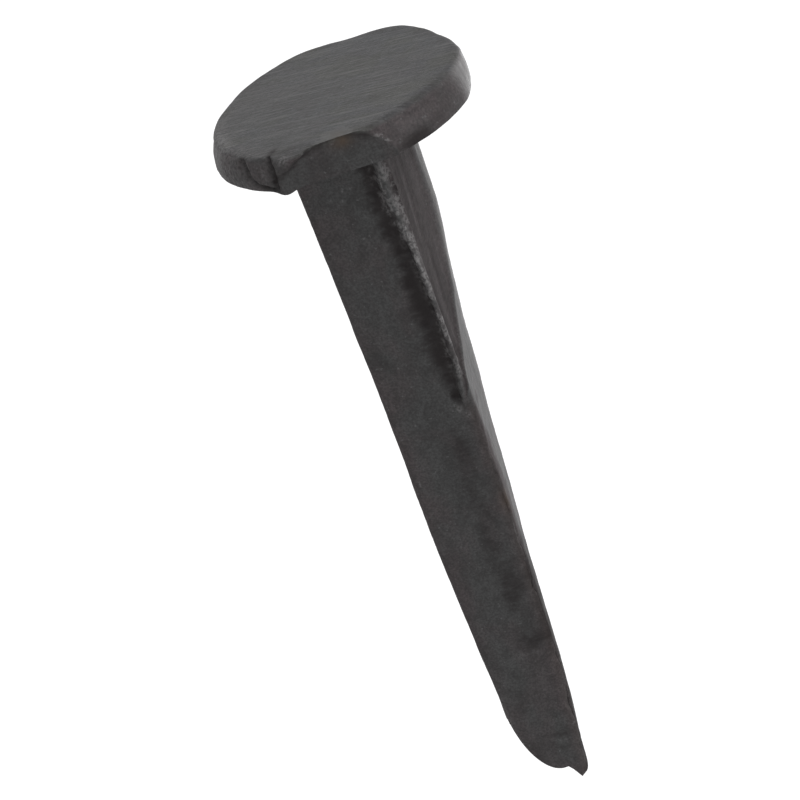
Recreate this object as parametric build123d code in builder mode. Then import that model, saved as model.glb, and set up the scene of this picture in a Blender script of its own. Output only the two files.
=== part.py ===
from build123d import *

import os
from math import cos, hypot, radians, sin

# Round-headed cut spike: one iron forging, made from a length of bar.
#
# Units are millimetres. The origin is the centre of the head's underside, the face
# that bears on the rail foot or plate. +Z runs up through the head, the point is
# down, the sheared front face looks along -Y and the gripped side along +X.

# --- head ---------------------------------------------------------------------
head_diameter = 24.6        # upset disc, across the round rim
head_thickness = 3.4        # underside to striking face
head_top_round = 0.7        # worn edge round the striking face
head_bottom_round = 0.5     # edge round the underside
flat_depth = 0.55           # how far the rear flat cuts into the rim
flat_bearing = 94.0         # degrees from +X to the middle of the rear flat
nick_depth = 1.1            # split in the rim, left of the front
nick_width = 1.6
nick_bearing = -110.0       # degrees from +X to the split

# --- shank --------------------------------------------------------------------
shank_length = 77.8         # nominal 3 in bar, underside of the head to the heel
bar_width = 9.525           # 3/8 in, left to right under the head
bar_depth = 10.8            # front to back under the head, swollen by the heading
point_width = 6.1           # left to right at the point
point_depth = 1.9           # front to back at the point
corner_round = 0.45         # long edges of the shank
neck_round = 0.8            # where the shank meets the head
shank_setback = 0.35        # shank centre in front of the head's centre
point_lean = 4.3            # the shank leans left by this much at the point
point_drift = 1.0           # and backward by this much
twist = 16.0                # degrees, from the head to the point
wedge_curve = 1.2           # 1 thins front to back evenly, more thins it sooner
taper_curve = 1.4           # 1 narrows evenly, more keeps the width for longer
section_count = 7           # sections that the shank is lofted through

# --- grip mark of the heading dies, on the right side -------------------------
grip_front_length = 28.0    # under the head, along the front edge
grip_rear_length = 8.0      # under the head, along the rear edge
grip_sink = 0.75            # deepest, at the front edge under the head

# --- cut end ------------------------------------------------------------------
toe_round = 3.0             # rounded left corner
heel_drop = 3.2             # the end runs down to the right by this much

# --- worked out ---------------------------------------------------------------
head_radius = head_diameter / 2
left_limit = -point_lean - point_width / 2 - point_depth * sin(radians(twist)) / 2
right_limit = left_limit + point_width
neck_reach = hypot(bar_width, bar_depth) / 2 + shank_setback + neck_round


def shank_plane(share):
    """Plane of a shank section: share 0 is under the head, 1 is at the point."""
    turn = radians(twist * share)
    centre = (
        -point_lean * share,
        -shank_setback + point_drift * share,
        -shank_length * share,
    )
    return Plane(origin=centre, x_dir=(cos(turn), sin(turn), 0), z_dir=(0, 0, 1))


def shank_size(share):
    """Width and depth of a shank section."""
    width = bar_width - (bar_width - point_width) * share ** taper_curve
    depth = point_depth + (bar_depth - point_depth) * (1 - share) ** wedge_curve
    return width, depth


def side_point(drop, depth_share, sink=0.0):
    """Point on the right side: drop under the head, -0.5 front to 0.5 rear."""
    share = drop / shank_length
    width, depth = shank_size(share)
    return shank_plane(share).from_local_coords((width / 2 - sink, depth * depth_share, 0))


def grip_plane():
    """Flat of the grip mark, which leaves the side along a slanting line."""
    low = Vector(side_point(grip_front_length, -0.5))
    high = Vector(side_point(grip_rear_length, 0.5))
    deep = Vector(side_point(0, -0.5, grip_sink))
    outward = (high - low).cross(deep - low)
    if outward.X < 0:
        outward = -outward
    return Plane(origin=low, x_dir=high - low, z_dir=outward)


def under_the_head(edge):
    """True for the edges where the shank meets the head."""
    middle = edge.center()
    return hypot(middle.X, middle.Y) < neck_reach


with BuildPart() as spike:
    # shank: a wedge with a slight twist and lean
    for number in range(section_count):
        share = number / (section_count - 1)
        with BuildSketch(shank_plane(share)):
            RectangleRounded(*shank_size(share), corner_round)
    loft()

    # grip mark
    with BuildSketch(grip_plane()):
        Rectangle(4 * shank_length, 4 * shank_length)
    extrude(amount=bar_width, mode=Mode.SUBTRACT)

    # cut end: runs down to the right from a rounded corner
    with BuildSketch(Plane.XZ):
        Polygon(
            (left_limit, shank_length),
            (left_limit, heel_drop - shank_length),
            (right_limit, -shank_length),
            (right_limit + bar_width, -shank_length),
            (right_limit + bar_width, shank_length),
            align=None,
        )
        left_corners = vertices().group_by(Axis.X)[0]
        fillet(left_corners.sort_by(Axis.Y)[0], toe_round)
    extrude(amount=head_diameter, both=True, mode=Mode.INTERSECT)

    # head: a disc with a rear flat and worn edges
    with BuildSketch():
        Circle(head_radius)
        with PolarLocations(head_radius - flat_depth, 1, start_angle=flat_bearing):
            Rectangle(
                head_radius, head_diameter, align=(Align.MIN, Align.CENTER), mode=Mode.SUBTRACT
            )
    extrude(amount=head_thickness)
    fillet(edges().group_by(Axis.Z)[-1], head_top_round)
    underside_edges = edges().filter_by_position(Axis.Z, -0.001, 0.001)
    fillet(underside_edges.filter_by(under_the_head), neck_round)
    underside_edges = edges().filter_by_position(Axis.Z, -0.001, 0.001)
    fillet(underside_edges.sort_by(SortBy.LENGTH)[-2:], head_bottom_round)

    # split in the rim
    with BuildSketch():
        with PolarLocations(head_radius, 1, start_angle=nick_bearing):
            Polygon(
                (-nick_depth, 0), (nick_depth, -nick_width), (nick_depth, nick_width), align=None
            )
    extrude(amount=head_thickness, mode=Mode.SUBTRACT)

spike.part.label = "spike"
os.makedirs("parts", exist_ok=True)
export_step(spike.part, "parts/spike.step")
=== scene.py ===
"""Looks of the round-headed cut spike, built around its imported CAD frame."""
import math

import bpy
import numpy as np
from mathutils import Matrix, Vector


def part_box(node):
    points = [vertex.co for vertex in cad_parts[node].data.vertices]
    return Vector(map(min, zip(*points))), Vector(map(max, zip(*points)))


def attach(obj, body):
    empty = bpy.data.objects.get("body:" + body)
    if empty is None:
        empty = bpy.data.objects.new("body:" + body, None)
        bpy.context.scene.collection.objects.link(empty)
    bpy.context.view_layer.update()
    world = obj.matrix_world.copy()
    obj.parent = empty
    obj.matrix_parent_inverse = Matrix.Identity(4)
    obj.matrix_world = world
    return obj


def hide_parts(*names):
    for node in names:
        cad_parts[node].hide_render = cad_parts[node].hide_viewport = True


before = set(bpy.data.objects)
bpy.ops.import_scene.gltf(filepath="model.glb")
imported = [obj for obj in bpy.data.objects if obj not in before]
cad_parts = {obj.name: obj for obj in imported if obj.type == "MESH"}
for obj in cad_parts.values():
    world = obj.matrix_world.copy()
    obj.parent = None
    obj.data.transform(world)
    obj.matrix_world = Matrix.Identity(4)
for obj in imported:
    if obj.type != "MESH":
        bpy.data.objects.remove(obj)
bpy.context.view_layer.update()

MM = 0.001

# ---- sizes taken from the frame, in millimetres --------------------------------------
low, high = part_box("spike")
HEAD_TOP = high[2] / MM
LENGTH = -low[2] / MM

# ---- camera: degrees, and millimetres from the middle of the head's underside ---------
CAMERA_AZIMUTH = 22.0
CAMERA_ELEVATION = 27.4
CAMERA_ROLL = 21.85
CAMERA_DISTANCE = 248.0
CAMERA_ASIDE = -4.79
CAMERA_ABOVE = -25.55
LENS = 121.5
SENSOR_WIDTH = 36
CLIP_NEAR = 0.01            # metres
CLIP_FAR = 50

# ---- floor and light ------------------------------------------------------------------
FLOOR_DROP = 120.0
FLOOR_SIZE = 4.0            # metres
PAPER_WHITE = (0.93, 0.93, 0.93, 1)
PAPER_GLOW = 0.35
PAPER_ROUGHNESS = 0.9
SKY_COLOUR = (1.0, 0.995, 1.0, 1)
SKY_BRIGHT = 0.9
SKY_DIM = 0.3
SKY_SEEN = 1.2              # what the camera sees behind the spike
SKY_DIM_AT = -0.6           # cosine of the angle from the bright side
SKY_BRIGHT_AT = 0.45
BRIGHT_SIDE = (0.5, 0.68, 0.5)
LAMP_PLACE = (330, -60, 330)
LAMP_SIZE = 160
LAMP_POWER = 0.5
LAMP_AIM = (-2, 0, -30)

# ---- the mesh: every ring has the same number of vertices, in four runs ---------------
ACROSS = 112                # vertices over the front, and over the back
ALONG = 38                  # vertices over each side
RING = 2 * (ACROSS + ALONG)
CORNER_CROWD = 0.4          # how much the vertices crowd towards the corners
RIM_START = -153.0          # bearing of a head ring's first vertex, in degrees
CAP_FADE = 8                # how soon the two caps forget their left and right edges
# the masks: rubbed steel and chips with painted highlights on some edges; dark scale with painted
# shade in hollows and under the head; rust; smoother steel; mauve tone
MASKS = ("wear_and_sheen", "soot_and_shade", "rust", "polish", "mauve")

# ---- shank, in millimetres ------------------------------------------------------------
BAR_WIDTH = 9.52
BAR_DEPTH = 10.85
POINT_WIDTH = 6.1
POINT_DEPTH = 1.9
SETBACK = 0.35
LEAN = 4.3
DRIFT = 1.0
TWIST = 16.0
WEDGE_CURVE = 1.2
TAPER_CURVE = 1.4
CORNER_RADII = (0.7, 0.3, 0.45, 0.7)    # front left, front right, rear right, rear left
CORNER_SHARE = 0.26         # a corner takes no more than this share of the depth
NECK_ROUND = 0.8
LEFT_BULGE = (0.65, 48, 14)             # extra width: (amount, drop, half length)
RIGHT_BULGE = (0.35, 65, 9)
THINNING = (0.75, 50, 14)               # depth that the drawing took, likewise
TOE_SPAN = 0.62             # share of the width that the worn left corner takes
TOE_RISE = 9.8
TOE_EDGE = 0.012            # least share, so that the left side isn't cut far back
FLAT_END = 77.0             # drop of the level stretch of the end
BURR_LENGTH = 1.8           # pointed burr at the right of the end
BURR = ((0.68, 0), (0.75, 0.35), (0.84, 1), (1, 0.6))   # (share of the width, of its length)
END_START = 56.0            # from here the rings take on the end's shape
TIP_ROUND = 0.28
# (first drop, last drop, rings)
SHANK_RUNS = ((0.8, 31.5, 120), (31.9, 58.8, 60), (59.1, 63.0, 15), (63.4, FLAT_END, 32))

# ---- head, as (bearing, radius) where its outline turns -------------------------------
TOP_OUTLINE = (
    (-160, 11.85), (-120, 12.3), (-96, 12.4), (-80, 12.0), (-64, 11.9), (-42, 11.6),
    (-14, 12.2), (10, 12.3), (42, 11.75), (73, 12.95), (96, 11.95), (119, 12.8),
    (140, 12.25), (172, 11.65),
)
LOW_OUTLINE = (
    (-170, 12.5), (-135, 12.45), (-104, 12.7), (-78, 11.9), (-52, 12.4), (-38, 12.5),
    (-8, 12.65), (14, 12.2), (60, 12.0), (120, 12.2), (150, 12.3),
)
FOOT_ROUND = 0.35           # edge between the rim and the underside
TONGUE_PROUD = 0.15         # the top ends this far in front of the tongue
RIM_BULGE = 0.12
TOP_START = 0.12            # share of the radius where the rings of the top begin
TOP_CROWD = 0.85
TOP_RINGS = 25
BEND_RINGS = 9
RIM_RINGS = 17
FOOT_RINGS = 6
NECK_RINGS = 12
TONGUE_BEARING = -78.0      # the tongue is a flat pressed on the rim, square to this
TONGUE_REACH = 11.3
TONGUE_RUN = (-109, -51)    # bearings that the tongue spans
TONGUE_EDGE = (             # (bearing, height of its upper edge)
    (-109, 1.2), (-99, 2.3), (-95.5, 2.75), (-88, 3.35), (-80, 3.8), (-68, 3.6),
    (-62, 3.0), (-57, 2.1), (-53.5, 1.1), (-52, -0.6),
)
# (height, bearing)
FOLD = ((0.3, -110.5), (0.6, -114), (1.0, -118.5), (1.8, -120.8), (3.1, -123))
SLIT_BEARING = -107.6

# ---- grip mark along the front right corner, for a few drops under the head -----------
RIDGE = (                   # (drop, place of the ridge)
    (0, -0.9), (6, -1.0), (12, -0.6), (16, -0.5), (22, -0.3), (25, -0.35), (28, -0.65),
    (30, -0.95),
)
# (drop, half width of the ridge)
RIDGE_HALF = ((0, 1.15), (8, 1.0), (13, 0.6), (20, 0.5), (25, 0.75), (28, 0.65), (30, 0.15))
TROUGH = (                  # (drop, width of the groove left of the ridge)
    (0, 2.2), (6, 2.5), (12, 2.3), (18, 2.7), (23, 2.9), (26, 2.3), (28.5, 1.1), (30, 0.3),
)
MARK_BACK = (               # (drop, place where the pressed face ends)
    (0, 8.5), (10, 8.3), (17, 7.5), (20, 6.4), (22, 4.8), (24.5, 3.0), (26.3, 1.0),
    (28, 0.0), (30, -0.85),
)
MARK_END = 30.0

# ---- small marks on the shank, as (drop, half length, place, half width) --------------
UPPER_SPECK = (30.4, 0.35, -1.6, 0.28)
LOWER_SPECK = (31.2, 0.3, -0.95, 0.32)
CORNER_RUST = (42.6, 1.3, 0.1, 0.8)
CORNER_SHINE = (68.4, 1.8, 0, 0.35)
EDGE_SHADE = (34, 20, 0, 0.5)
LEDGE_DROP = 61.2           # the shallow ledge across the front, low down
LEDGE_SLOPE = 0.14
CREASE_DROP = 72.6          # and the short crease below it
CREASE_SLOPE = 0.22


# ---- small tools ----------------------------------------------------------------------
def smooth(start, end, value):
    """0 up to start, 1 from end on, smooth between. start may be the larger one."""
    t = np.clip((value - start) / (end - start), 0, 1)
    return t * t * (3 - 2 * t)


def hump(value, centre, width):
    """1 at the centre, falling away smoothly on both sides."""
    return np.exp(-(((value - centre) / width) ** 2))


def bearing_hump(bearing, centre, width):
    """The same for a bearing, which comes round again after 360 degrees."""
    away = (bearing - centre + 180) % 360 - 180
    return np.exp(-((away / width) ** 2))


def line(value, points):
    """Straight runs through a few points."""
    xs, ys = zip(*points)
    return np.interp(value, xs, ys)


def around(bearing, points):
    """A closed outline through a few points, with its turns softened."""
    xs, ys = zip(*points)
    steps = np.linspace(-4, 4, 9)
    return sum(np.interp(bearing + s, xs, ys, period=360) for s in steps) / len(steps)


def lattice(points, seed):
    """One repeatable number from -1 to 1 for each whole-number point."""
    n = points.astype(np.int64)
    mix = n[..., 0] * 73856093 ^ n[..., 1] * 19349663 ^ n[..., 2] * 83492791 ^ seed * 26544357
    mix = (mix ^ (mix >> 13)) * 1274126177 & 0x7FFFFFFF
    mix = (mix ^ (mix >> 16)) & 0xFFFF
    return mix / 32767.5 - 1


def noise(points, size, seed=1):
    """Smooth noise from about -1 to 1 whose features have that size, or those three sizes."""
    p = points / np.asarray(size, float)
    base = np.floor(p)
    f = p - base
    f = f * f * f * (f * (6 * f - 15) + 10)
    total = 0
    for dx in (0, 1):
        for dy in (0, 1):
            for dz in (0, 1):
                weight = f[..., 0] if dx else 1 - f[..., 0]
                weight = weight * (f[..., 1] if dy else 1 - f[..., 1])
                weight = weight * (f[..., 2] if dz else 1 - f[..., 2])
                total = total + weight * lattice(base + (dx, dy, dz), seed)
    return total


def fractal(points, size, octaves=3, seed=1):
    """Noise with finer noise added, each layer half as large and half as strong."""
    total = 0
    gain = 1.0
    sizes = np.asarray(size, float)
    for octave in range(octaves):
        total = total + gain * noise(points + 17.3 * octave, sizes / 2**octave, seed + octave)
        gain *= 0.5
    return total


# ---- sections of the shank ------------------------------------------------------------
def ring_places():
    """For each vertex its side, 0 front, 1 right, 2 back, 3 left, and its share of it."""
    sides, places = [], []
    for side, count in enumerate((ACROSS, ALONG, ACROSS, ALONG)):
        even = np.arange(count) / count
        crowded = 0.5 - 0.5 * np.cos(np.pi * even)
        sides.append(np.full(count, side))
        places.append((1 - CORNER_CROWD) * even + CORNER_CROWD * crowded)
    return np.concatenate(sides), np.concatenate(places)


SIDE, PLACE = ring_places()


def rounded(width, depth, radii):
    """A rectangle with rounded corners, from the front left corner, and its normals."""
    half = np.array((width / 2, depth / 2))
    corners = np.array(((-1, -1), (1, -1), (1, 1), (-1, 1))) * half
    along = np.array(((1, 0), (0, 1), (-1, 0), (0, -1)), float)[SIDE]
    out = np.array(((0, -1), (1, 0), (0, 1), (-1, 0)), float)[SIDE]
    length = np.array((width, depth, width, depth))[SIDE]
    distance = PLACE * length
    spot = corners[SIDE] + along * distance[:, None]
    normal = out.copy()
    for sign, corner, gap in ((-1, SIDE, distance), (1, (SIDE + 1) % 4, length - distance)):
        radius = np.asarray(radii)[corner]
        inside = gap < radius
        angle = np.where(inside, (1 - gap / radius) * np.pi / 4, 0)
        towards = sign * along
        middle = corners[corner] - (towards + out) * radius[:, None]
        turned = towards * np.sin(angle)[:, None] + out * np.cos(angle)[:, None]
        spot = np.where(inside[:, None], middle + turned * radius[:, None], spot)
        normal = np.where(inside[:, None], turned, normal)
    return spot, normal


def end_drop(share):
    """How far down the cut end is, for a share of the width from the left."""
    corner = np.clip(1 - share / TOE_SPAN, 0, 1)
    toe = TOE_RISE * (1 - np.sqrt(1 - corner**2))
    return FLAT_END - toe + BURR_LENGTH * line(share, BURR)


def corner_place(width, depth):
    """Distance round the section from the front right corner, negative over the front."""
    return np.select(
        [SIDE == 0, SIDE == 1, SIDE == 2, SIDE == 3],
        [(PLACE - 1) * width, PLACE * depth, depth + PLACE * width, -width - (1 - PLACE) * depth],
    )


def swell(drop, bulge):
    amount, centre, half_length = bulge
    return amount * float(hump(drop, centre, half_length))


def shank_ring(drop, inset=0.0, past=0.0):
    """One ring of the shank with its relief, as places in millimetres and its masks."""
    part = min(drop / LENGTH, 1)
    left, right, thinner = (swell(drop, b) for b in (LEFT_BULGE, RIGHT_BULGE, THINNING))
    width = BAR_WIDTH - (BAR_WIDTH - POINT_WIDTH) * part**TAPER_CURVE + left + right
    depth = POINT_DEPTH + (BAR_DEPTH - POINT_DEPTH) * (1 - part) ** WEDGE_CURVE - thinner
    spot, normal = rounded(width, depth, [min(r, CORNER_SHARE * depth) for r in CORNER_RADII])
    share = np.clip(spot[:, 0] / width + 0.5, TOE_EDGE, 1)
    turn = math.radians(TWIST * part)
    across = np.array((math.cos(turn), math.sin(turn)))
    deep = np.array((-math.sin(turn), math.cos(turn)))
    neck = max(NECK_ROUND - drop, 0)
    flare = NECK_ROUND - math.sqrt(NECK_ROUND**2 - neck**2)
    centre = np.array((-LEAN * part + (right - left) / 2, -SETBACK + DRIFT * part + thinner / 2))
    out = normal[:, :1] * across + normal[:, 1:] * deep
    plan = centre + spot[:, :1] * across + spot[:, 1:] * deep + out * (flare - inset)
    ramp = max(drop - END_START, 0) / (FLAT_END - END_START)
    down = drop + ramp**2 * (end_drop(share) - FLAT_END) + past
    places = np.column_stack((plan, -down))
    surface = Shank(corner_place(width, depth), down, places, width, depth)
    masks = surface.masks()
    places[:, :2] += out * (surface.lift() * smooth(0.0, 1.2, down))[:, None]
    return np.column_stack((places, masks))


class Shank:
    """Relief and masks of one ring. place is measured from the front right corner."""

    def __init__(self, place, drop, points, width, depth):
        self.place, self.drop, self.points = place, drop, points
        self.width, self.depth = width, depth
        self.front = (SIDE == 0).astype(float)
        self.right = (SIDE == 1).astype(float)
        self.on_mark = smooth(MARK_END + 0.3, MARK_END - 1.2, drop)
        self.below = smooth(MARK_END - 2, MARK_END + 2, drop)
        self.crumbs = fractal(points, (0.5, 0.5, 0.55), 2, 21)
        self.tears = fractal(points, (1.4, 1.4, 0.65), 3, 31)
        self.drag = noise(points, (0.7, 0.7, 9.0), 35)
        self.find_grip_mark()
        self.step = drop - LEDGE_DROP + LEDGE_SLOPE * (place + 1) + 0.1 * noise(points, 1.0, 43)
        crease_line = hump(drop, CREASE_DROP + CREASE_SLOPE * (place + 2), 0.28)
        self.crease = crease_line * hump(place, -1.9, 0.9) * self.front
        self.bevel = self.find_bevel()

    def find_grip_mark(self):
        """The crumbled ridge, the groove left of it, and the pressed face right of it."""
        near = self.place - line(self.drop, RIDGE)
        half = line(self.drop, RIDGE_HALF)
        self.crest = hump(near, 0, half) * self.on_mark
        groove = line(self.drop, TROUGH)
        ragged = near + 0.3 * self.tears
        left_edge = smooth(-groove - 0.5, -0.4 * groove - 0.45, ragged)
        self.groove = left_edge * smooth(-0.1, -0.9 * half, near) * self.on_mark
        reach = line(self.drop, MARK_BACK) - line(self.drop, RIDGE)
        self.over = near / np.maximum(reach, 0.05)
        self.pressed = smooth(0.0, 0.5, near) * smooth(1.0, 0.93, self.over) * self.on_mark

    def find_bevel(self):
        """The ragged dull band along the right corner, below the grip mark."""
        ragged = self.place + 1.0 * fractal(self.points, (1.0, 1.0, 1.6), 3, 49)
        return self.right * smooth(2.0, 0.9, ragged) * self.below

    def at(self, mark):
        """A soft spot at a (drop, half length, place, half width)."""
        centre, half_length, place, half_width = mark
        return hump(self.drop, centre, half_length) * hump(self.place, place, half_width)

    def lift(self):
        """Height of the surface over the plain section."""
        drawn = noise(self.points, (0.9, 0.9, 16.0), 17) * (SIDE >= 2)
        waves = 0.05 * fractal(self.points, (3.0, 3.0, 5.0), 3, 11)
        waves = waves + 0.018 * noise(self.points, 0.55, 15) + 0.05 * drawn
        return waves + self.grip_lift() + self.edge_lift() - self.low_sink()

    def grip_lift(self):
        ridge = self.crest * (0.3 + 0.17 * self.crumbs)
        groove = self.groove * (0.36 + 0.05 * self.tears)
        slope = 0.5 * np.clip(1 - self.over, 0, 1)
        run_out = 0.3 + 0.7 * smooth(29, 24, self.drop)
        pressed = run_out * self.pressed * (0.25 + slope + 0.05 * self.drag)
        return ridge - groove - pressed

    def edge_lift(self):
        """The swollen rear right edge, and chips along the front right one."""
        swollen = 0.42 * hump(self.place, self.depth, 1.6) * hump(self.drop, 12, 5.5)
        chips = np.clip(fractal(self.points, (1.3, 1.3, 1.5), 3, 41), 0, 1)
        return swollen - hump(self.place, 0, 0.6) * self.below * (0.05 + 0.45 * chips)

    def low_sink(self):
        ledge = smooth(0.5, -0.3, self.step) * smooth(-3.8, 0, self.step)
        ledge = ledge * smooth(-5.2, -2.5, self.place) * smooth(0.3, -1.0, self.place)
        return 0.13 * ledge * self.front + 0.13 * self.crease

    def rear_edge(self):
        return self.right * hump(self.place, self.depth, 1.3) * smooth(44, 6, self.drop)

    def wear_and_sheen(self):
        grainy = self.crest * smooth(-0.6, 0.4, self.crumbs)
        ridge = 0.9 * grainy * smooth(31, 21, self.drop) * smooth(0.5, 5, self.drop)
        specks = 1.3 * self.at(UPPER_SPECK) + 1.3 * self.at(LOWER_SPECK)
        # painted highlights: a light line along the ledge step, and the glint along the lip under
        # the crease
        specks = specks + 0.5 * hump(self.step, 0.2, 0.2) * hump(self.place, -3.4, 1.9)
        glint = hump(self.drop, 73.5 + 0.2 * (self.place + 2), 0.22)
        specks = specks + 0.5 * glint * hump(self.place, -1.7, 0.6)
        scratch = hump(self.place, -0.2 - 0.06 * (self.drop - 46), 0.07)
        scratch = scratch * hump(self.drop, 46.4, 1.1)
        drawn = noise(self.points, (0.8, 0.8, 14.0), 47)
        toe = hump(self.place, -self.width, 0.5) * smooth(62, 70, self.drop)
        marks = 0.5 * self.front * (specks + scratch) + 0.35 * toe + 0.35 * self.at(CORNER_SHINE)
        # the rear right edge: rubbed steel, and a painted sheen of the grazing reflection along the
        # right side
        return ridge + marks + (0.5 + 0.15 * drawn) * self.rear_edge()

    def soot_and_shade(self):
        # groove: dark scale in the grip groove, and painted shade where the ridge stands over it
        groove = self.groove * (0.98 + 0.15 * self.tears)
        cloud = fractal(self.points, (1.6, 1.6, 2.4), 3, 45)
        band = self.front * hump(self.place, -2.7, 1.15)
        band = band * smooth(30, 37, self.drop) * smooth(60, 52, self.drop)
        # patch: painted shade in the recess just above the ledge step, and darker further up; the
        # crease term is painted shade in the crease
        patch = hump(self.step, -1.3, 1.6) + 0.6 * hump(self.step, -8.0, 1.6)
        patch = self.front * hump(self.place, -1.7, 2.1) * patch
        low = (0.38 + 0.4 * cloud) * band + (0.4 + 0.4 * cloud) * patch + 0.6 * self.crease
        side = 0.65 * self.right * smooth(46.5, 51, self.drop)
        corner = hump(self.place, 0, 0.5) * smooth(48, 52, self.drop) * smooth(64, 58, self.drop)
        edges = side + 0.4 * corner + 0.3 * self.at(EDGE_SHADE) * self.below
        # neck: painted shade under the head, at the top of the shank
        neck = 0.8 * smooth(2.4, 0.6, self.drop) * smooth(-3, -1, self.place)
        return groove + low + edges + self.pressed * (0.56 - 0.35 * self.drag) + neck

    def rust(self):
        return 0.5 * self.at(CORNER_RUST) + 0.1 * hump(self.place, -0.4, 0.5) * self.below

    def polish(self):
        behind = smooth(-0.3, 0.3, self.place - line(self.drop, MARK_BACK) - 0.25)
        strip = self.right * behind * (1 - self.on_mark)
        strip = strip + self.right * smooth(0.97, 1.03, self.over) * self.on_mark
        return 0.5 * strip * (1 - self.bevel) + self.rear_edge()

    def mauve(self):
        left = 0.5 * hump(self.place, -self.width, 1.5)
        corner = 0.6 * hump(self.place, -0.5, 0.9) * self.below
        return self.pressed + 0.7 * self.bevel + left + corner

    def masks(self):
        values = (self.wear_and_sheen(), self.soot_and_shade(), self.rust(), self.polish(), self.mauve())
        return np.column_stack([np.clip(v, 0, 1) for v in values])


# ---- the head -------------------------------------------------------------------------
def tongue_radius(bearing):
    return TONGUE_REACH / np.cos(np.radians(np.clip(bearing, -112, -44) - TONGUE_BEARING))


def on_tongue(bearing):
    return (bearing > TONGUE_RUN[0]) & (bearing < TONGUE_RUN[1])


class Rim:
    """One ring of the head, which its methods shape in turn."""

    def __init__(self, radius, bearing, z):
        self.radius, self.bearing, self.z = radius, bearing, z
        self.angle = np.radians(bearing)
        height = np.broadcast_to(z, radius.shape)
        points = (radius * np.cos(self.angle), radius * np.sin(self.angle), height)
        self.points = np.column_stack(points)
        self.wall = smooth(10.0, 11.4, radius)
        self.dents = fractal(self.points, 3.2, 3, 51)
        self.grit = fractal(self.points, 0.9, 2, 61)
        self.radius = radius + self.wall * (0.07 * self.dents + 0.03 * self.grit)

    def press_tongue(self):
        """The flat on the front of the rim, the lip over it, and the lip's droop."""
        bearing = self.bearing
        self.edge = line(bearing, TONGUE_EDGE) + 0.16 * fractal(self.points, 0.9, 2, 71)
        self.inside = on_tongue(bearing)
        below = smooth(0.12, -0.22, self.z - self.edge)
        self.under = self.inside * below * smooth(-109, -97, bearing)
        pressed = self.radius + self.under * (tongue_radius(bearing) - self.radius)
        self.radius = np.where(self.inside & (self.radius > 9), pressed, self.radius)
        lip = self.inside * hump(self.z - self.edge, 0.3, 0.4) * self.wall
        lip = lip * smooth(-60, -66, bearing) * smooth(-109, -103, bearing)
        self.radius = self.radius + 0.18 * lip
        droop = bearing_hump(bearing, -99, 8) * smooth(10.6, 12.2, self.radius)
        droop = droop * smooth(1.0, 3.0, self.z)
        self.radius = self.radius + 0.4 * droop
        self.z = self.z - 0.25 * droop

    def fold_rim(self):
        """The fold and slit left of the tongue, and the metal that hangs below them."""
        bearing = self.bearing
        fold = bearing - line(self.z, FOLD) + 0.8 * self.grit
        self.wedge = hump(fold, 0, 2.1) * smooth(0.0, 0.4, self.z)
        self.wedge = self.wedge * smooth(3.3, 2.9, self.z) * self.wall
        flap = smooth(1.5, 3.0, fold) * smooth(-111, -113, bearing)
        flap = flap * smooth(0.3, 1.0, self.z) * self.wall
        slit_middle = SLIT_BEARING + 1.3 * hump(self.z, 2.0, 0.8)
        self.slit = bearing_hump(bearing, slit_middle, 1.5) * smooth(0.0, 0.5, self.z) * self.wall
        slit_depth = 0.65 * self.slit * smooth(3.6, 3.0, self.z)
        self.radius = self.radius + 0.12 * flap - 0.5 * self.wedge - slit_depth
        hang = bearing_hump(bearing, -104, 4.5) * smooth(1.2, 0.0, self.z)
        self.z = self.z - 0.42 * hang * smooth(9.5, 11.5, self.radius)
        chip = bearing_hump(bearing, -131, 5) * smooth(2.2, 3.2, self.z)
        self.z = self.z - 0.25 * chip * smooth(11, 12, self.radius)

    def wear_and_sheen(self):
        bearing, z = self.bearing, self.z
        # shoulder: light chips along the tongue's upper edge, and a painted highlight along that
        # edge
        shoulder = self.inside * hump(z - self.edge, 0.05, 0.2)
        shoulder = shoulder * smooth(-61, -58, bearing) * self.wall
        tongue_end = 2.2 * shoulder * smooth(-0.4, 0.3, self.grit)
        lip = bearing_hump(bearing, -100, 3) * hump(z, 3.0, 0.3) * smooth(-0.2, 0.5, self.grit)
        fold = bearing_hump(bearing, -111, 1.0) * hump(z, 1.9, 1.0)
        left = bearing_hump(bearing, -154, 30)
        rubbed = 0.7 * lip + 0.3 * fold + 0.55 * left
        # the right end is lightened as rubbed steel and as a painted sheen
        return tongue_end + rubbed * self.wall + 0.7 * self.right_end()

    def right_end(self):
        """The rubbed, bright right end of the rim; its lightening is partly a painted sheen of the
        grazing reflection.
        """
        run = smooth(-14, -3, self.bearing) * smooth(60, 30, self.bearing)
        return run * self.wall * smooth(HEAD_TOP, HEAD_TOP - 0.5, self.z)

    def soot_and_shade(self):
        bearing = self.bearing
        # under_lip: painted shade under the lip over the tongue
        under_lip = 0.75 * self.inside * hump(self.z - self.edge, -0.3, 0.28)
        under_lip = under_lip * smooth(-58, -64, bearing)
        shade = 0.08 * self.under + 0.22 * bearing_hump(bearing, -24, 15)
        # foot: painted shade where the rim's underside meets the shank
        foot = bearing_hump(bearing, -43, 9) * smooth(1.5, 0.5, self.z + 0.4 * self.dents)
        # wedge and slit: painted shade in the fold and in the slit
        return (under_lip + shade + foot) * self.wall + 0.8 * self.wedge + 0.7 * self.slit

    def rust(self):
        patch = bearing_hump(self.bearing, -74, 4.2) * hump(self.z, 2.85, 0.6)
        return 0.95 * patch * (0.8 + 0.4 * self.grit) * smooth(10.6, 11.2, self.radius)

    def mauve(self):
        return self.wall * (0.5 + 0.5 * self.dents) * (1 - self.under) * (1 - self.right_end())

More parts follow.
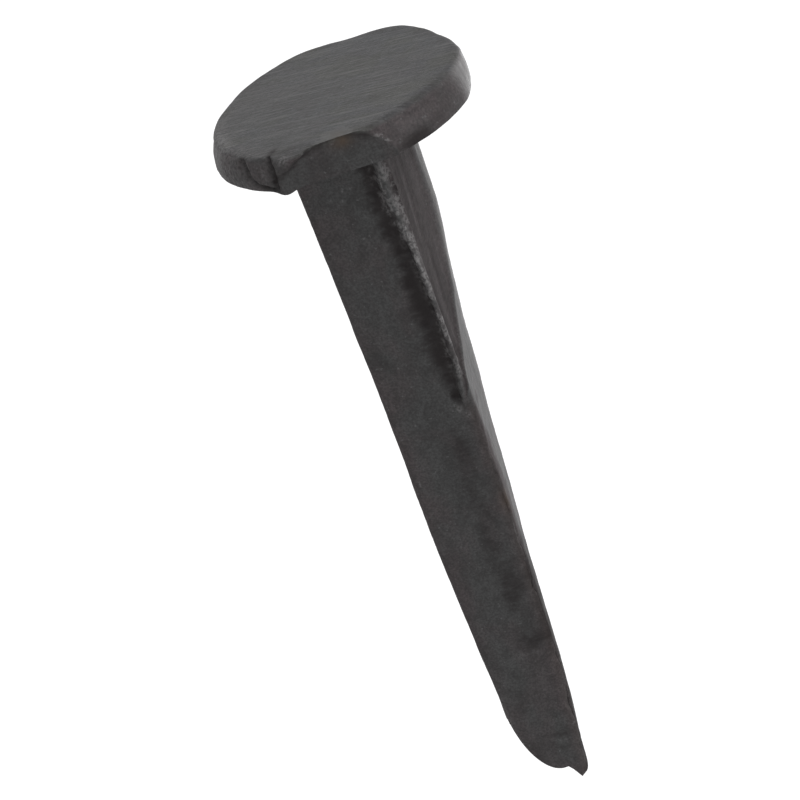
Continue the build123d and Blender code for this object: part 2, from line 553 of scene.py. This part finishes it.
    def ring(self):
        """The shaped ring, as places in millimetres and its masks."""
        values = (self.wear_and_sheen(), self.soot_and_shade(), self.rust(), self.right_end(), self.mauve())
        masks = [np.clip(v * np.ones(RING), 0, 1) for v in values]
        top = smooth(HEAD_TOP - 0.4, HEAD_TOP, self.z) * (self.radius < 12)
        z = self.z + 0.035 * top * noise(self.points, (4.0, 2.5, 4.0), 81)
        x, y = self.radius * np.cos(self.angle), self.radius * np.sin(self.angle)
        return np.column_stack((x, y, z * np.ones(RING), *masks))


def shape_rim(radius, bearing, z):
    rim = Rim(radius, bearing, z)
    rim.press_tongue()
    rim.fold_rim()
    return rim.ring()


def top_round(bearing):
    """Radius of the edge between the top and the rim."""
    right, left = bearing_hump(bearing, -20, 30), bearing_hump(bearing, -150, 22)
    return 0.55 + 0.45 * right + 0.25 * left


def head_rings():
    """Rings from the middle of the top face, over the rim, to the neck."""
    bearing = RIM_START + 360 * np.arange(RING) / RING
    upper, lower = around(bearing, TOP_OUTLINE), around(bearing, LOW_OUTLINE)
    tongue_top = smooth(HEAD_TOP - 0.5, HEAD_TOP - 0.05, line(bearing, TONGUE_EDGE))
    met = tongue_top * on_tongue(bearing)
    upper = upper + met * np.minimum(tongue_radius(bearing) + TONGUE_PROUD - upper, 0)
    bend = top_round(bearing) * (1 - 0.7 * met)
    rings = []
    for share in np.linspace(TOP_START, 1, TOP_RINGS):
        flat = np.full(RING, HEAD_TOP)
        rings.append(shape_rim(share**TOP_CROWD * (upper - bend), bearing, flat))
    for angle in np.radians(np.linspace(9, 90, BEND_RINGS)):
        radius = upper - bend * (1 - math.sin(angle))
        rings.append(shape_rim(radius, bearing, HEAD_TOP - bend * (1 - math.cos(angle))))
    for share in np.linspace(0, 1, RIM_RINGS)[1:]:
        radius = upper + (lower - upper) * share + RIM_BULGE * math.sin(math.pi * share)
        z = (HEAD_TOP - bend) * (1 - share) + FOOT_ROUND * share
        rings.append(shape_rim(radius, bearing, z))
    for angle in np.radians(np.linspace(15, 90, FOOT_RINGS)):
        radius = lower - FOOT_ROUND * (1 - math.cos(angle))
        z = np.full(RING, FOOT_ROUND * (1 - math.sin(angle)))
        rings.append(shape_rim(radius, bearing, z))
    edge, neck = rings[-1], shank_ring(0.0)
    for share in np.linspace(0, 1, NECK_RINGS)[1:-1]:
        rings.append(edge + (neck - edge) * share)
    return rings


def shank_rings():
    """Rings from the neck to the cut end, close together where the grip mark is."""
    drops = [NECK_ROUND * (1 - np.cos(np.radians(np.linspace(0, 75, 6))))]
    drops += [np.linspace(*run) for run in SHANK_RUNS]
    rings = [shank_ring(drop) for drop in np.concatenate(drops)]
    for angle in np.radians((25, 50, 75, 90)):
        inset, past = TIP_ROUND * (1 - math.cos(angle)), TIP_ROUND * math.sin(angle)
        rings.append(shank_ring(FLAT_END, inset, past))
    return rings


# ---- mesh -----------------------------------------------------------------------------
def patch(ring, first, start):
    """A grid that closes a ring: its inner rows, and the index of every point of the grid."""
    front, right = ring[: ACROSS + 1], ring[ACROSS : ACROSS + ALONG + 1]
    back = ring[ACROSS + ALONG : 2 * ACROSS + ALONG + 1][::-1]
    left = np.vstack((ring[2 * ACROSS + ALONG :], ring[:1]))[::-1]
    s = np.linspace(0, 1, ACROSS + 1)[None, :, None]
    t = np.linspace(0, 1, ALONG + 1)[:, None, None]
    grid = (1 - t) * front[None] + t * back[None]
    grid = grid + (1 - s) ** CAP_FADE * (left[:, None] - (1 - t) * front[0] - t * back[0])
    grid = grid + s**CAP_FADE * (right[:, None] - (1 - t) * front[-1] - t * back[-1])
    index = np.zeros((ALONG + 1, ACROSS + 1), int)
    index[0] = start + np.arange(ACROSS + 1)
    index[:, -1] = start + ACROSS + np.arange(ALONG + 1)
    index[-1] = start + (2 * ACROSS + ALONG - np.arange(ACROSS + 1))
    index[1:, 0] = start + RING - np.arange(1, ALONG + 1)
    inner = grid[1:-1, 1:-1].reshape(-1, ring.shape[1])
    index[1:-1, 1:-1] = first + np.arange(len(inner)).reshape(ALONG - 1, ACROSS - 1)
    return inner, index


def grid_faces(index):
    """The four-sided faces of a grid of vertex numbers."""
    corners = (index[:-1, :-1], index[:-1, 1:], index[1:, 1:], index[1:, :-1])
    return np.stack([c.ravel() for c in corners], axis=1)


def make_mesh(name, rings):
    """One closed mesh from the rings, with a patch over each end and the masks on it."""
    rows = np.stack(rings)
    count = len(rows)
    body = rows.reshape(-1, rows.shape[2])
    start = np.arange(count - 1)[:, None] * RING
    j = np.arange(RING)[None]
    k = (j + 1) % RING
    walls = np.stack([start + j, start + RING + j, start + RING + k, start + k], axis=2)
    top_points, top_index = patch(rows[0], len(body), 0)
    end_points, end_index = patch(rows[-1], len(body) + len(top_points), (count - 1) * RING)
    columns = np.vstack((body, top_points, end_points))
    faces = np.vstack((walls.reshape(-1, 4), grid_faces(top_index), grid_faces(end_index)[:, ::-1]))
    mesh = bpy.data.meshes.new(name)
    mesh.from_pydata((columns[:, :3] * MM).tolist(), [], faces.tolist())
    for column, label in enumerate(MASKS, start=3):
        layer = mesh.attributes.new(label, "FLOAT", "POINT")
        layer.data.foreach_set("value", columns[:, column].astype(np.float32))
    mesh.shade_smooth()
    mesh.validate()
    return mesh


# ---- material -------------------------------------------------------------------------
class Nodes:
    """Short calls for building one node tree."""

    def __init__(self, tree):
        self.tree = tree
        tree.nodes.clear()

    def add(self, kind, **settings):
        node = self.tree.nodes.new("ShaderNode" + kind)
        for name, value in settings.items():
            setattr(node, name, value)
        return node

    def join(self, source, target):
        self.tree.links.new(source, target)

    def put(self, target, value):
        if isinstance(value, bpy.types.NodeSocket):
            self.join(value, target)
        else:
            target.default_value = value

    def math(self, operation, a, b=0.0, clamp=False):
        node = self.add("Math", operation=operation, use_clamp=clamp)
        self.put(node.inputs[0], a)
        self.put(node.inputs[1], b)
        return node.outputs[0]

    def times(self, a, b):
        return self.math("MULTIPLY", a, b)

    def plus(self, a, b, clamp=False):
        return self.math("ADD", a, b, clamp)

    def minus(self, a, b, clamp=False):
        return self.math("SUBTRACT", a, b, clamp)

    def mix(self, factor, a, b):
        node = self.add("Mix", data_type="RGBA")
        self.put(node.inputs["Factor"], factor)
        self.put(node.inputs[6], a)
        self.put(node.inputs[7], b)
        return node.outputs[2]

    def mask(self, name):
        return self.add("Attribute", attribute_name=name).outputs["Fac"]

    def stretched(self, size_mm):
        """Object coordinates in units of three sizes given in millimetres."""
        place = self.add("TexCoord").outputs["Object"]
        scale = self.add("Mapping")
        scale.inputs["Scale"].default_value = [1 / (s * MM) for s in size_mm]
        self.join(place, scale.inputs["Vector"])
        return scale.outputs["Vector"]

    def noise(self, size_mm, detail=3.0, roughness=0.55, distortion=0.0):
        node = self.add("TexNoise")
        self.join(self.stretched(size_mm), node.inputs["Vector"])
        node.inputs["Scale"].default_value = 1.0
        node.inputs["Detail"].default_value = detail
        node.inputs["Roughness"].default_value = roughness
        node.inputs["Distortion"].default_value = distortion
        return node.outputs["Fac"]

    def between(self, value, start, end):
        node = self.add("MapRange", interpolation_type="SMOOTHSTEP")
        self.put(node.inputs["Value"], value)
        node.inputs["From Min"].default_value = start
        node.inputs["From Max"].default_value = end
        return node.outputs["Result"]


TOP_SCALE = (0.044, 0.045, 0.045, 1)
GREY_SCALE = (0.056, 0.057, 0.057, 1)
MAUVE_SCALE = (0.065, 0.052, 0.054, 1)
DARK_SCALE = (0.014, 0.012, 0.012, 1)
TOP_SCALE = (0.044, 0.045, 0.045, 1)
COOL_SCALE = (0.040, 0.044, 0.048, 1)
OLIVE_SCALE = (0.045, 0.046, 0.036, 1)
# dark scale, and the colour of painted shade in the groove, creases, fold, slit and under the head
SOOT_AND_SHADE = (0.0148, 0.0110, 0.0112, 1)
STREAK = (0.105, 0.105, 0.106, 1)
# rubbed steel, and the colour of painted highlights along some edges
BARE_STEEL_AND_SHEEN = (0.17, 0.165, 0.165, 1)
RUST = (0.062, 0.040, 0.024, 1)
BASE_ROUGHNESS = 0.46
BUMP_STRENGTH = 0.6
BUMP_HEIGHT = 0.14          # millimetres


def top_mask(nodes):
    """1 on the struck top face, 0 elsewhere."""
    place = nodes.add("TexCoord").outputs["Object"]
    split = nodes.add("SeparateXYZ")
    nodes.join(place, split.inputs[0])
    return nodes.between(split.outputs["Z"], (HEAD_TOP - 0.45) * MM, (HEAD_TOP - 0.12) * MM)


def scale_colour(nodes, top):
    """Mottled grey and mauve scale, cleaner and cooler on the top face."""
    patches = nodes.between(nodes.noise((5.0, 5.0, 8.0), 4.0, 0.6, 0.6), 0.42, 0.62)
    mauve = nodes.plus(nodes.times(patches, 0.6), nodes.mask("mauve"), clamp=True)
    colour = nodes.mix(mauve, GREY_SCALE, MAUVE_SCALE)
    cloud = nodes.between(nodes.noise((3.2, 3.2, 4.5), 5.0, 0.62), 0.5, 0.72)
    colour = nodes.mix(nodes.times(cloud, 0.35), colour, DARK_SCALE)
    blotch = nodes.between(nodes.noise((1.1, 1.1, 1.5), 3.0, 0.6), 0.42, 0.62)
    colour = nodes.mix(nodes.times(blotch, 0.26), colour, DARK_SCALE)
    cool = nodes.between(nodes.noise((9.0, 7.0, 9.0), 2.0), 0.4, 0.6)
    colour = nodes.mix(nodes.times(top, 0.7), colour, nodes.mix(cool, TOP_SCALE, COOL_SCALE))
    olive = nodes.between(nodes.noise((6.0, 4.0, 6.0), 2.0), 0.5, 0.66)
    return nodes.mix(nodes.times(nodes.times(olive, top), 0.6), colour, OLIVE_SCALE)


def add_streaks(nodes, colour, top, streaks):
    """Fine and wide streaks over the top face, and speckles and flecks everywhere."""
    fine = nodes.between(streaks, 0.52, 0.72)
    colour = nodes.mix(nodes.times(nodes.times(fine, top), 0.65), colour, STREAK)
    speckle = nodes.between(nodes.noise((0.22, 0.22, 0.22), 2.0, 0.6), 0.3, 0.7)
    colour = nodes.mix(nodes.times(speckle, 0.55), colour, DARK_SCALE)
    wide = nodes.between(nodes.noise((9.0, 0.5, 3.0), 2.0, 0.6), 0.5, 0.68)
    colour = nodes.mix(nodes.times(nodes.times(wide, top), 0.42), colour, STREAK)
    flecks = nodes.between(nodes.noise((0.4, 0.4, 0.4), 2.0, 0.5), 0.66, 0.76)
    return nodes.mix(nodes.times(flecks, 0.6), colour, STREAK)


def stroked_soot_and_shade(nodes):
    """The soot-and-shade mask, dark scale and painted shade, broken into short strokes where it
    fades out.
    """
    strokes = nodes.noise((1.1, 1.1, 0.36), 4.0, 0.6, 0.4)
    strokes = nodes.between(strokes, 0.36, 0.64)
    soot_and_shade = nodes.mask("soot_and_shade")
    fading = nodes.times(soot_and_shade, nodes.minus(1.0, soot_and_shade))
    shift = nodes.times(nodes.minus(strokes, 0.5), 1.5)
    return nodes.plus(soot_and_shade, nodes.times(shift, fading), clamp=True)


def grainy_wear_and_sheen(nodes):
    """The mask of rubbed steel and painted highlights, grainy except where the steel is polished.
    """
    grains = nodes.between(nodes.noise((0.3, 0.3, 0.3), 1.0), 0.38, 0.6)
    grains = nodes.plus(grains, nodes.mask("polish"), clamp=True)
    return nodes.times(nodes.mask("wear_and_sheen"), nodes.plus(nodes.times(grains, 0.75), 0.12))


def roughness(nodes, grain):
    rough = nodes.plus(nodes.times(grain, 0.16), BASE_ROUGHNESS)
    rough = nodes.plus(rough, nodes.times(nodes.mask("soot_and_shade"), 0.25))
    rough = nodes.plus(rough, nodes.times(nodes.mask("mauve"), 0.14))
    rough = nodes.minus(rough, nodes.times(nodes.mask("polish"), 0.24))
    return nodes.minus(rough, nodes.times(nodes.mask("wear_and_sheen"), 0.15), clamp=True)


def fine_relief(nodes, top, streaks, grain, wear_sheen_grains):
    """A bumped normal: pits and grain, scrapes on the top face, crumbs on rubbed spots and on
    painted highlights.
    """
    pits = nodes.times(nodes.noise((0.45, 0.45, 0.5), 3.0, 0.6), 0.6)
    scrapes = nodes.times(nodes.times(streaks, top), 0.8)
    bump = nodes.add("Bump")
    bump.inputs["Strength"].default_value = BUMP_STRENGTH
    bump.inputs["Distance"].default_value = BUMP_HEIGHT * MM
    height = nodes.plus(nodes.plus(pits, grain), nodes.plus(scrapes, wear_sheen_grains))
    nodes.join(height, bump.inputs["Height"])
    return bump.outputs[0]


def forged_steel():
    """Dark forge scale: mottled grey and mauve, streaked on top, worn on the high spots, with
    painted shade in hollows and painted highlights on some edges.
    """
    material = bpy.data.materials.new("forged_steel")
    material.use_nodes = True
    nodes = Nodes(material.node_tree)
    surface = nodes.add("BsdfPrincipled")
    output = nodes.add("OutputMaterial")
    nodes.join(surface.outputs[0], output.inputs["Surface"])
    top = top_mask(nodes)
    streaks = nodes.noise((3.2, 0.18, 3.0), 3.0, 0.65)
    grain = nodes.noise((0.9, 0.9, 1.2), 4.0, 0.6)
    wear_sheen_grains = grainy_wear_and_sheen(nodes)
    colour = add_streaks(nodes, scale_colour(nodes, top), top, streaks)
    # darkened by dark scale and by painted shade
    colour = nodes.mix(stroked_soot_and_shade(nodes), colour, SOOT_AND_SHADE)
    colour = nodes.mix(nodes.mask("rust"), colour, RUST)
    # lightened as rubbed steel and as painted highlights
    nodes.join(nodes.mix(wear_sheen_grains, colour, BARE_STEEL_AND_SHEEN), surface.inputs["Base Color"])
    nodes.join(roughness(nodes, grain), surface.inputs["Roughness"])
    nodes.join(fine_relief(nodes, top, streaks, grain, wear_sheen_grains), surface.inputs["Normal"])
    surface.inputs["Specular IOR Level"].default_value = 0.5
    surface.inputs["IOR"].default_value = 1.5
    return material


# ---- the scene ------------------------------------------------------------------------
def place_camera():
    """The camera looks at the spike from its front right, and is rolled so that it leans."""
    a, e, roll = (math.radians(v) for v in (CAMERA_AZIMUTH, CAMERA_ELEVATION, CAMERA_ROLL))
    right = Vector((math.cos(a), math.sin(a), 0))
    up = Vector((-math.sin(a) * math.sin(e), math.cos(a) * math.sin(e), math.cos(e)))
    back = right.cross(up)
    spot = right * CAMERA_ASIDE + up * CAMERA_ABOVE + back * CAMERA_DISTANCE
    x_axis = right * math.cos(roll) - up * math.sin(roll)
    y_axis = right * math.sin(roll) + up * math.cos(roll)
    data = bpy.data.cameras.new("camera")
    data.lens = LENS
    data.sensor_width = SENSOR_WIDTH
    data.clip_start = CLIP_NEAR
    data.clip_end = CLIP_FAR
    camera = bpy.data.objects.new("camera", data)
    turn = Matrix((x_axis, y_axis, back)).transposed().to_4x4()
    camera.matrix_world = Matrix.Translation(spot * MM) @ turn
    bpy.context.scene.collection.objects.link(camera)
    bpy.context.scene.camera = camera


def make_spike():
    """The whole spike, which stands for the CAD solid."""
    mesh = make_mesh("spike_forging", head_rings() + shank_rings())
    mesh.materials.append(forged_steel())
    spike = bpy.data.objects.new("spike_forging", mesh)
    bpy.context.scene.collection.objects.link(spike)
    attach(spike, "root")
    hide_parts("spike")


def pale_paper():
    material = bpy.data.materials.new("pale_paper")
    material.use_nodes = True
    surface = material.node_tree.nodes["Principled BSDF"]
    surface.inputs["Base Color"].default_value = PAPER_WHITE
    surface.inputs["Roughness"].default_value = PAPER_ROUGHNESS
    surface.inputs["Specular IOR Level"].default_value = 0.0
    surface.inputs["Emission Color"].default_value = (1, 1, 1, 1)
    surface.inputs["Emission Strength"].default_value = PAPER_GLOW
    return material


def make_floor():
    """A plain floor, out of the glossy rays so that it doesn't light the dark sides."""
    half, z = FLOOR_SIZE / 2, -FLOOR_DROP * MM
    mesh = bpy.data.meshes.new("floor")
    corners = [(-half, -half, z), (half, -half, z), (half, half, z), (-half, half, z)]
    mesh.from_pydata(corners, [], [(0, 1, 2, 3)])
    mesh.materials.append(pale_paper())
    floor = bpy.data.objects.new("floor", mesh)
    floor.visible_glossy = False
    bpy.context.scene.collection.objects.link(floor)


def make_sky():
    """Soft light all round, bright on one side and dim on the other, and white behind."""
    world = bpy.data.worlds.new("studio")
    world.use_nodes = True
    bpy.context.scene.world = world
    nodes = Nodes(world.node_tree)
    way = nodes.add("TexCoord").outputs["Generated"]
    dot = nodes.add("VectorMath", operation="DOT_PRODUCT")
    nodes.join(way, dot.inputs[0])
    dot.inputs[1].default_value = Vector(BRIGHT_SIDE).normalized()
    bright = nodes.add("MapRange", interpolation_type="SMOOTHSTEP")
    nodes.join(dot.outputs["Value"], bright.inputs["Value"])
    bright.inputs["From Min"].default_value = SKY_DIM_AT
    bright.inputs["From Max"].default_value = SKY_BRIGHT_AT
    bright.inputs["To Min"].default_value = SKY_DIM
    bright.inputs["To Max"].default_value = SKY_BRIGHT
    seen = nodes.add("LightPath").outputs["Is Camera Ray"]
    behind = nodes.times(seen, SKY_SEEN)
    strength = nodes.math("MAXIMUM", bright.outputs["Result"], behind)
    light = nodes.add("Background")
    light.inputs["Color"].default_value = SKY_COLOUR
    nodes.join(strength, light.inputs["Strength"])
    output = nodes.add("OutputWorld")
    nodes.join(light.outputs[0], output.inputs["Surface"])


def make_lamp(name, place_mm, size_mm, power):
    """A square soft box that faces the middle of the spike."""
    data = bpy.data.lights.new(name, "AREA")
    data.size = size_mm * MM
    data.energy = power
    lamp = bpy.data.objects.new(name, data)
    spot = Vector(place_mm) * MM
    aim = Vector(LAMP_AIM) * MM - spot
    lamp.matrix_world = Matrix.Translation(spot) @ aim.to_track_quat("-Z", "Y").to_matrix().to_4x4()
    bpy.context.scene.collection.objects.link(lamp)


place_camera()
make_spike()
make_floor()
make_sky()
make_lamp("key", LAMP_PLACE, LAMP_SIZE, LAMP_POWER)
bpy.context.scene.view_settings.view_transform = "Standard"
bpy.context.view_layer.update()
